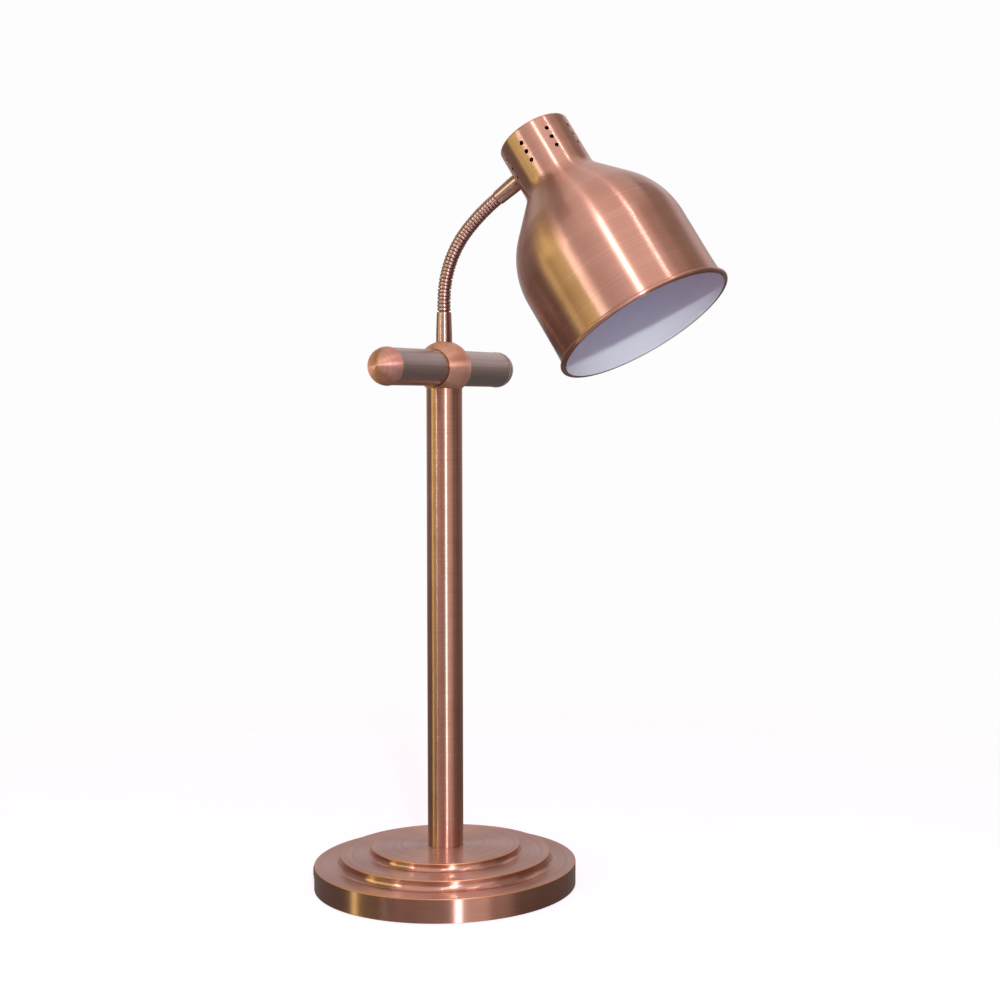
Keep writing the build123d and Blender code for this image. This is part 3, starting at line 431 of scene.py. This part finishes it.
tube = {"radius": 19.1, "wall": 1.3, "low": -104.5, "high": 104.5, "edge": 0.25, "segments": 128}
turned(
    "crossTube", tubeProfile(tube), hubPlace, [tubeBronze],
    "stand", ["cross_tube"], tube["segments"],
)

cap = {
    "radius": 19.8, "wall": 1.5, "plug": 17.6, "plugLength": 8, "plugEdge": 0.2, "rim": 0.25,
    "domeFrom": 2,  # degrees up from the rim
    "hollowSteps": 12, "domeSteps": 28, "segments": 128,
}
plugBore, hollow = cap["plug"] - cap["wall"], cap["radius"] - cap["wall"]
capProfile = rounded(
    [
        *arc(0, 0, hollow, 90, math.degrees(math.acos(plugBore / hollow)), cap["hollowSteps"]),
        (plugBore, -cap["plugLength"], cap["plugEdge"]), (cap["plug"], -cap["plugLength"], cap["plugEdge"]),
        (cap["plug"], 0, 0), (cap["radius"], 0, cap["rim"]),
        *arc(0, 0, cap["radius"], cap["domeFrom"], 90, cap["domeSteps"]),
    ]
)
capProfile[0][0] = capProfile[-1][0] = 0  # both ends lie on the axis
# the far cap takes the tube's greyer bronze as painted shade; it is copper like the near cap
for side, name, node, finish in (
    (-1, "tubeCapNear", "tube_cap_near", capCopper), (1, "tubeCapFar", "tube_cap_far", tubeBronze),
):
    capPlace = placed((0, side * tube["high"] * mm, hub["height"] * mm), (0, side, 0))
    turned(name, capProfile, capPlace, [finish], "stand", [node], cap["segments"], closed=False)
print("stand turned")

lowerFerrule = {
    "segments": 96,
    "corners": [
        (2.6, 582.31, 0), (8.5, 582.31, 0.3), (8.5, 590.8, 0.6), (7.7, 613.5, 0.25), (7.2, 614.0, 0.2),
        (5.4, 614.0, 0.15), (2.6, 610.2, 0),
    ],
}
turned(
    "lowerFerrule", rounded(lowerFerrule["corners"]), upright, [neckCopper],
    "stand", ["lower_ferrule"], lowerFerrule["segments"],
)

link = {
    "bore": 2.6,
    "nose": 5.25,
    "noseFoot": -4.5,
    "noseArc": (-58, 8.7, 8),  # degrees from, to, steps
    "cup": 5.45,
    "cupTop": 6.9,
    "cupArc": (-8.5, -61, 6),
    "ribs": 3,
    "groove": 6.1,
    "crest": 7.0,
    "pitch": 3.87,
    "gap": 0.8,
    "endGap": 0.9,  # wider, so that two links clear each other at the joints' limits
    "ribSteps": 10,
    "flatness": 0.2,  # the smaller, the squarer a rib's crest
    "dark": 6.75,  # painted shade: the grooves, the ball nose and the cup are painted dark below this radius
    "segments": 64,
}
linkLength = link["pitch"] * link["ribs"]
pivots = [Vector(j["pos_m"]) for j in frame["joints"] if j["name"].startswith("neck_")]
ribCorners = []
for k in range(link["ribs"]):
    foot = k * link["pitch"] + link["gap" if k else "endGap"] / 2
    head = (k + 1) * link["pitch"] - link["endGap" if k == link["ribs"] - 1 else "gap"] / 2
    for n in range(link["ribSteps"] + 1):
        t = math.pi * n / link["ribSteps"]
        rise = (link["crest"] - link["groove"]) * math.sin(t) ** link["flatness"]
        ribCorners.append((link["groove"] + rise, (foot + head) / 2 - (head - foot) / 2 * math.cos(t), 0))
noseCorners = [(link["bore"], link["noseFoot"], 0), *arc(0, 0, link["nose"], *link["noseArc"])]
linkProfile = rounded(
    [*noseCorners, *ribCorners, *arc(0, linkLength, link["cup"], *link["cupArc"]), (link["bore"], link["cupTop"], 0)],
    support=0.2, steps=3,
)


def linkFinish(row):
    # rows below that radius get the painted shade
    return int(max(linkProfile[row][0], linkProfile[(row + 1) % len(linkProfile)][0]) < link["dark"])


def bent(point, start, stop):
    # The ribs follow the neck's curve; the ball nose and the cup stay round
    x, y, z = point
    part = (math.hypot(x, y) / mm - link["cup"]) / (link["groove"] - link["cup"])
    along = z / (linkLength * mm)
    slope = math.sin(start) * (1 - along) - math.sin(stop) * along
    return x, y, z + min(max(part, 0), 1) * x * slope


upperFerrule = {
    "turn": 56.6,
    "segments": 96,
    "corners": [
        *noseCorners, (7.2, 0.8, 0.15), (7.7, 1.3, 0.2), (8.5, 22.0, 0.6), (8.5, 33.0, 0.2), (2.6, 33.0, 0),
    ],
}
lean = math.radians(upperFerrule["turn"])
leans = [0, *(math.atan2(b.x - a.x, b.z - a.z) for a, b in zip(pivots, pivots[1:])), lean]
for k in range(len(pivots) - 1):
    points, faces, *_ = turnedGrid(linkProfile, link["segments"], True, linkFinish)
    start, stop = (leans[k + 1] - leans[k]) / 2, (leans[k + 2] - leans[k + 1]) / 2
    meshPiece(
        f"neckLink{k + 1:02d}", [bent(p, start, stop) for p in points], list(faces.values()),
        placed(pivots[k], pivots[k + 1] - pivots[k]), [linkCopper, shadedGrooveCopper],
        f"neck_link_{k + 1:02d}", [f"neck_link_{k + 1:02d}"],
    )
turned(
    "upperFerrule", rounded(upperFerrule["corners"]), placed(pivots[-1], (math.sin(lean), 0, math.cos(lean))),
    [neckCopper], "head", ["upper_ferrule"], upperFerrule["segments"],
)
print("gooseneck turned")

shade = {
    "lean": 33.4,
    "mouth": (236.97, 0, 595.33),
    "segments": 256,
    "wall": 1.2,
    "mouthRadius": 90.9,
    "bell": (90.2, 25),  # radius, and the height above the mouth where it starts to flare
    "shoulder": (2.3, 80.7, 87.9),  # arc's centre (radius, height) and radius
    "shoulderTurn": (0, 40.4, 40),  # degrees from, to, steps
    "throat": 18,
    "throatHeights": (173.8, 173.35),  # corner outside and inside
    "throatSteps": 20,
    "neck": 38.5,
    "top": 233.3,
    "topRound": 2.6,
    "topSteps": 8,
    "paintedShadeFrom": 172,  # painted shade in place of the enamel from here up inside the neck
    "ventRows": (197.2, 207.6, 218.0),
    "ventColumns": (0, 1, 2, 3, 5, 6, 7),  # of eight; the upper ferrule comes in at the place left out
    "ventRadius": 2.15,
    "ventEdge": 0.15,
    "ventCollar": 0.5,
    "cellHalf": 4,  # mesh rows and columns from a vent's middle to its cell's border
    "cellRow": 0.9,
    "beadRing": (92.4, 2.3),  # radius and height of the rolled rim's middle
    "beadRadius": 2.3,
    "beadSides": 24,
}
tilt = math.radians(shade["lean"])
shadePlace = placed(Vector(shade["mouth"]) * mm, (-math.sin(tilt), 0, math.cos(tilt)))
cellHalf, cellRows = shade["cellHalf"], 2 * shade["cellHalf"] + 1
neckRows = [s + shade["cellRow"] * k for s in shade["ventRows"] for k in range(-cellHalf, cellHalf + 1)]
inner, innerTop = shade["neck"] - shade["wall"], shade["top"] - shade["wall"]


def bellCorners(inset, throatHeight):
    # From the mouth up to the neck's first row, this far inside the shade's outer face
    r, z, radius = shade["shoulder"]
    bell, flare = shade["bell"]
    return [
        (shade["mouthRadius"] - inset, 0, 0), (bell - inset, flare, 0),
        *arc(r, z, radius - inset, *shade["shoulderTurn"]),
        (shade["neck"] - inset, throatHeight, shade["throat"] + inset), (shade["neck"] - inset, neckRows[0], 0),
    ]


bellOutside = rounded(bellCorners(0, shade["throatHeights"][0]), steps=shade["throatSteps"])
bellInside = rounded(bellCorners(shade["wall"], shade["throatHeights"][1])[::-1], steps=shade["throatSteps"])
topOutside = rounded(
    [(shade["neck"], neckRows[-1], 0), (shade["neck"], shade["top"], shade["topRound"]), (0, shade["top"], 0)],
    steps=shade["topSteps"],
)
topInside = rounded(
    [(0, innerTop, 0), (inner, innerTop, shade["topRound"] - shade["wall"]), (inner, neckRows[-1], 0)]
)
profile = [
    *bellOutside[:-1], *[(shade["neck"], s) for s in neckRows], *topOutside[1:],
    *topInside[:-1], *[(inner, s) for s in reversed(neckRows)], *bellInside[1:],
]
ventsStart = len(bellOutside) - 1
turnBack = ventsStart + len(neckRows) + len(topOutside) - 1
ventsInside = turnBack + len(topInside) - 1


def shadeFinish(row):
    # 0 copper, 1 enamel, 2 painted shade inside the neck
    if row < turnBack - 1 or row == len(profile) - 1:
        return 0
    return 2 if profile[row][1] > shade["paintedShadeFrom"] else 1


points, faces, number, lengths = turnedGrid(profile, shade["segments"], True, shadeFinish)


def cellBorder(row, column):
    # Rows and columns of a square cell's border vertices, in order from its first row
    low, high, left, right = row, row + 2 * cellHalf, column - cellHalf, column + cellHalf
    return (
        [(low, c) for c in range(left, right)]
        + [(r, right) for r in range(low, high)]
        + [(high, c) for c in range(right, left, -1)]
        + [(r, left) for r in range(high, low, -1)]
    )


def ventRing(angle, height, radius, shell, row, column):
    # The vent's circle on this shell: one point in line with each border vertex of its cell
    made = []
    for r, c in cellBorder(row, column):
        aside = (c - column) * 2 * math.pi * shade["neck"] / shade["segments"]
        t = math.atan2(profile[r][1] - height, aside)
        turn = angle + math.asin(radius * math.cos(t) / shell)
        made.append((shell * math.cos(turn) * mm, shell * math.sin(turn) * mm, (height + radius * math.sin(t)) * mm))
    return made


vent, edge, collar = shade["ventRadius"], shade["ventEdge"], shade["ventRadius"] + shade["ventCollar"]
ventSteps = (  # radius and shell of each ring, from the outer face in
    (collar, shade["neck"]), (vent + edge, shade["neck"]), (vent, shade["neck"] - edge),
    (vent, inner + edge), (vent + edge, inner), (collar, inner),
)
for ventColumn in shade["ventColumns"]:
    column = ventColumn * shade["segments"] // 8
    angle = 2 * math.pi * column / shade["segments"]
    for ventRow, height in enumerate(shade["ventRows"]):
        outRow = ventsStart + cellRows * ventRow
        inRow = ventsInside + cellRows * (len(shade["ventRows"]) - 1 - ventRow)
        outBorder = cellBorder(outRow, column)
        loops = [[number[r, c % shade["segments"]] for r, c in outBorder]]
        for radius, shell in ventSteps:
            ring = ventRing(angle, height, radius, shell, outRow, column)
            loops.append(list(range(len(points), len(points) + len(ring))))
            points += ring
        # the hollow's rows run the other way, so its border is matched by place
        found = {
            (round(profile[r][1], 3), c): number[r, c % shade["segments"]] for r, c in cellBorder(inRow, column)
        }
        loops.append([found[round(profile[r][1], 3), c] for r, c in outBorder])
        for first in (outRow, inRow):
            for r in range(first, first + 2 * cellHalf):
                for c in range(column - cellHalf, column + cellHalf):
                    del faces[r, c % shade["segments"]]
        for n, (a, b) in enumerate(zip(loops, loops[1:])):
            for k in range(len(a)):
                m = (k + 1) % len(a)
                corners = [a[k], a[m], b[m], b[k]]
                uvs = []
                for x, y, z in (points[p] for p in corners):
                    u = (math.atan2(y, x) / (2 * math.pi)) % 1
                    if ventColumn == 0 and u > 0.5:
                        u -= 1  # this column straddles the seam
                    uvs.append((u, lengths[outRow] + (z - profile[outRow][1] * mm)))
                # copper to the hollow's edge, painted shade within
                faces["vent", ventColumn, ventRow, n, k] = (corners, 0 if n < len(ventSteps) - 1 else 2, uvs)

used = sorted({p for f in faces.values() for p in f[0]})
renumber = {old: new for new, old in enumerate(used)}
meshPiece(
    "shade",
    [points[p] for p in used],
    [([renumber[p] for p in f[0]], f[1], f[2]) for f in faces.values()],
    shadePlace, [shadeCopper, whiteEnamel, shadedNeckInside], "head", ["shade"], leaning=True,
)
beadSides = shade["beadSides"]
beadProfile = arc(*shade["beadRing"], shade["beadRadius"], 0, 360 - 360 / beadSides, beadSides - 1)
turned(
    "rimBead", [corner[:2] for corner in beadProfile], shadePlace, [shadeCopper],
    "head", [], shade["segments"], leaning=True,
)
print("shade turned")


# Finishes of the CAD pieces that keep their own shape

kept = {
    "castIron": ["base_weight"],
    "plateSteel": ["base_cover", "post_foot_plug"],
    "zincSteel": [
        "cover_screws", "base_washer", "base_nut", "base_nipple", "hub_grub_screw", "cross_tube_grub_screw",
        "socket_bracket", "neck_nut", "socket_screws",
    ],
    "padRubber": ["foot_pad"],
    "whitePlastic": ["terminal_block"],
    "leadSheath": ["inner_lead", "head_lead"],
    "blackPlastic": ["cable_inlet", "inlet_nut", "switch_housing", "switch_rocker"],
    "porcelain": ["lamp_socket"],
    "contactBrass": ["socket_sleeve", "socket_contact"],
    "capBrass": ["bulb_cap"],
    "bulbGlass": ["bulb_glass"],
    "filamentWire": ["bulb_filament"],
}
for finish, nodes in kept.items():
    for name in nodes:
        slots = frame["nodes"][name].data.materials
        slots.clear()
        slots.append(castMaterials[finish])


# Studio: pale floor, a ring of soft cards out of the camera's sight, and lamps

cards = {
    "radius": 2.4,
    "height": 0.5,  # of the level that elevation 0 stands for
    "columns": 360,
    "elevations": (-68, 57),
    "dim": (0.15, 0.145, 0.14),
    "onMatt": 0.75,  # share of this light that falls on matt surfaces
    # degrees to the right of the camera, elevations, softness of the edges, colour
    "lit": [
        ((138, 222), (-8, 24), 12, (0.58, 0.52, 0.52)),
        ((138, 222), (24, 90), 12, (0.95, 0.93, 0.95)),
        ((-135, -94), (-9, 90), 8, (0.36, 0.34, 0.33)),
        ((-75, 62), (-10, 90), 14, (0.5, 0.47, 0.46)),
        ((-66, 60), (10, 90), 12, (1.14, 1.14, 1.18)),
        ((-60, -36), (8, 24), 8, (1.32, 1.38, 1.36)),
        ((-44, -6), (-20, 6), 8, (0.74, 0.68, 0.72)),
        ((-12, 46), (42, 90), 10, (1.7, 1.75, 1.85)),
        ((58, 88), (22, 90), 12, (0.55, 0.52, 0.5)),
        ((86, 142), (-11, 90), 8, (0.28, 0.26, 0.24)),
        ((86, 128), (24, 90), 14, (0.46, 0.43, 0.4)),
        ((114, 142), (10, 36), 8, (0.8, 0.76, 0.78)),
        ((-24, 60), (-60, 8), 12, (0.36, 0.35, 0.35)),
        ((44, 82), (-12, 20), 10, (0.45, 0.42, 0.4)),
        ((14, 52), (-12, 16), 10, (1.12, 1.08, 1.12)),
        ((13, 37), (-60, -12), 8, (0.85, 0.84, 0.85)),
        ((-92, -63), (-10, 2), 4, (0.42, 0.5, 0.25)),
        ((-93, -57), (3, 22), 4, (2.2, 2.55, 1.2)),
        ((-91, -80), (-9, 2), 3, (2.1, 2.3, 1.15)),
        ((-86, -80), (-60, -9), 3, (1.5, 1.8, 0.9)),
        ((-55.5, -50.5), (4, 22), 2.5, (10.0, 11.6, 11.5)),
        ((5, 17), (-12, 14), 3, (2.0, 2.9, 4.3)),
        ((8, 13), (-60, -12), 2, (5.5, 6.6, 8.0)),
    ],
}
towardsCamera = -57.06  # degrees from X


def raySeen(tree, *kinds):
    # 1 for a ray of any of these kinds
    rays = addNode(tree, "LightPath")
    seen = rays.outputs[kinds[0]]
    for kind in kinds[1:]:
        seen = addNode(tree, "Math", [(0, seen), (1, rays.outputs[kind])], operation="MAXIMUM").outputs[0]
    return seen


def cardTones(right, elevation):
    tone = np.ones((len(right), 3)) * cards["dim"]
    for (left, far), (low, high), soft, colour in cards["lit"]:
        off = (right - (left + far) / 2 + 180) % 360 - 180
        reach = np.minimum((far - left) / 2 - abs(off), np.minimum(elevation - low, high - elevation))
        share = np.clip(reach / soft + 0.5, 0, 1)[:, None]
        tone = tone + (np.array(colour) - tone) * share * share * (3 - 2 * share)
    return tone


def ringCards():
    low, high = cards["elevations"]
    rows, columns = high - low, cards["columns"]
    row, column = (part.ravel() for part in np.mgrid[0 : rows + 1, 0:columns])
    turn = np.radians(towardsCamera + column)
    rise = np.tan(np.radians(low + row))
    points = cards["radius"] * np.stack((np.cos(turn), np.sin(turn), rise), axis=1)
    points[:, 2] += cards["height"]
    tones = np.ones((len(points), 4))
    tones[:, :3] = cardTones(column, low + row)
    faces = []
    for j in range(rows):
        for k in range(columns):
            n = (k + 1) % columns
            faces.append((j * columns + k, j * columns + n, (j + 1) * columns + n, (j + 1) * columns + k))
    mesh = bpy.data.meshes.new("studioCards")
    mesh.from_pydata(points.tolist(), [], faces)
    layer = mesh.color_attributes.new("cardTone", "FLOAT_COLOR", "POINT")
    layer.data.foreach_set("color", tones.ravel())
    ring = bpy.data.objects.new("studioCards", mesh)
    scene.collection.objects.link(ring)
    ring.visible_camera = False
    material = bpy.data.materials.new("softCards")
    material.use_nodes = True
    tree = material.node_tree
    tree.nodes.remove(tree.nodes["Principled BSDF"])
    tone = addNode(tree, "Attribute", attribute_name="cardTone")
    level = mapRange(tree, raySeen(tree, "Is Diffuse Ray"), (0.0, 1.0), 1.0, cards["onMatt"])
    glow = addNode(tree, "Emission", [("Color", tone.outputs["Color"]), ("Strength", level)])
    tree.links.new(glow.outputs[0], tree.nodes["Material Output"].inputs["Surface"])
    material.cycles.emission_sampling = "NONE"
    mesh.materials.append(material)


ringCards()

floorLook = {
    "radius": 1.9, "segments": 128, "fade": (0.4, 1.3), "colour": (0.5, 0.385, 0.47), "roughness": 0.8,
    "glow": 0.74, "glowColour": (1, 0.99, 0.993),
}
bpy.ops.mesh.primitive_circle_add(
    vertices=floorLook["segments"], radius=floorLook["radius"], fill_type="NGON", location=(0, 0, 0)
)
floor = bpy.context.object
floor.name = "paleFloor"
floorMaterial = bpy.data.materials.new("paleFloor")
floorMaterial.use_nodes = True
tree = floorMaterial.node_tree
principled = tree.nodes["Principled BSDF"]
principled.inputs["Base Color"].default_value = (*floorLook["colour"], 1)
principled.inputs["Roughness"].default_value = floorLook["roughness"]
principled.inputs["Specular IOR Level"].default_value = 0.0
principled.inputs["Emission Color"].default_value = (*floorLook["glowColour"], 1)
seen = raySeen(tree, "Is Camera Ray", "Is Transmission Ray")
glow = addNode(tree, "Math", [(0, seen), (1, floorLook["glow"])], operation="MULTIPLY")
tree.links.new(glow.outputs[0], principled.inputs["Emission Strength"])
place = addNode(tree, "TexCoord")
distance = addNode(tree, "VectorMath", [(0, place.outputs["Object"])], operation="LENGTH")
fade = mapRange(
    tree, distance.outputs["Value"], floorLook["fade"], 1.0, 0.0, interpolation_type="SMOOTHSTEP"
)
tree.links.new(fade, principled.inputs["Alpha"])
floor.data.materials.append(floorMaterial)
floor.visible_glossy = False

sky = {"colour": (0.99, 0.98, 0.983), "onMatt": 0.45}  # share of the white sky that lights matt surfaces
world = bpy.data.worlds.new("studioWorld")
scene.world = world
world.use_nodes = True
tree = world.node_tree
background = tree.nodes["Background"]
background.inputs["Color"].default_value = (*sky["colour"], 1)
seen = raySeen(tree, "Is Camera Ray", "Is Glossy Ray", "Is Transmission Ray")
tree.links.new(mapRange(tree, seen, (0.0, 1.0), sky["onMatt"], 1.0), background.inputs["Strength"])

lamps = {
    "aim": (0.1, 0, 0.5),
    "distance": 2.2,
    # name, lower end, upper end (degrees right of the camera, elevation), width, radiance, colour,
    # and whether it shows in metal or falls on matt surfaces
    "strips": [
        ("lowKeyStrip", (9, 8), (4.5, 16.5), 0.06, 175.0, (0.86, 0.95, 1.0), True),
        ("highKeyStrip", (4.5, 16.5), (-12, 48), 0.06, 20.0, (0.86, 0.95, 1.0), True),
        ("edgeStrip", (42, 38), (39, 66), 0.035, 25.0, (0.9, 0.88, 1.0), True),
        ("mouthLamp", (3, 13), (3, 14.4), 0.1, 1300.0, (0.8, 1.0, 0.88), False),
    ],
}
aim = Vector(lamps["aim"])


def around(right, elevation):
    a, e = math.radians(towardsCamera + right), math.radians(elevation)
    return aim + lamps["distance"] * Vector((math.cos(a) * math.cos(e), math.sin(a) * math.cos(e), math.sin(e)))


for name, low, high, width, radiance, colour, inMetal in lamps["strips"]:
    foot, head = around(*low), around(*high)
    lamp = bpy.data.lights.new(name, "AREA")
    lamp.shape, lamp.size, lamp.size_y = "RECTANGLE", width, (head - foot).length
    lamp.energy = radiance * math.pi * lamp.size * lamp.size_y
    lamp.color = colour
    holder = bpy.data.objects.new(name, lamp)
    scene.collection.objects.link(holder)
    y = (head - foot).normalized()
    z = ((foot + head) / 2 - aim).normalized()
    x = y.cross(z).normalized()
    holder.matrix_world = Matrix.Translation((foot + head) / 2) @ Matrix((x, y, x.cross(y))).transposed().to_4x4()
    holder.visible_camera = False
    holder.visible_glossy = inMetal
    holder.visible_diffuse = not inMetal

view = {
    "right": (0.88648, 0.46276, 0.00262),
    "up": (-0.03072, 0.05318, 0.99811),
    "place": (0.95894, -1.48036, 0.52182),
    "lens": 59.351,
    "shift": -0.0997,
}
camera = bpy.data.objects.new("photoCamera", bpy.data.cameras.new("photoCamera"))
scene.collection.objects.link(camera)
right, up = Vector(view["right"]), Vector(view["up"])
camera.matrix_world = Matrix((right, up, right.cross(up))).transposed().to_4x4()
camera.location = view["place"]
camera.data.lens = view["lens"]
camera.data.shift_x = view["shift"]
scene.camera = camera
scene.view_settings.view_transform = "Standard"
print("studio set")
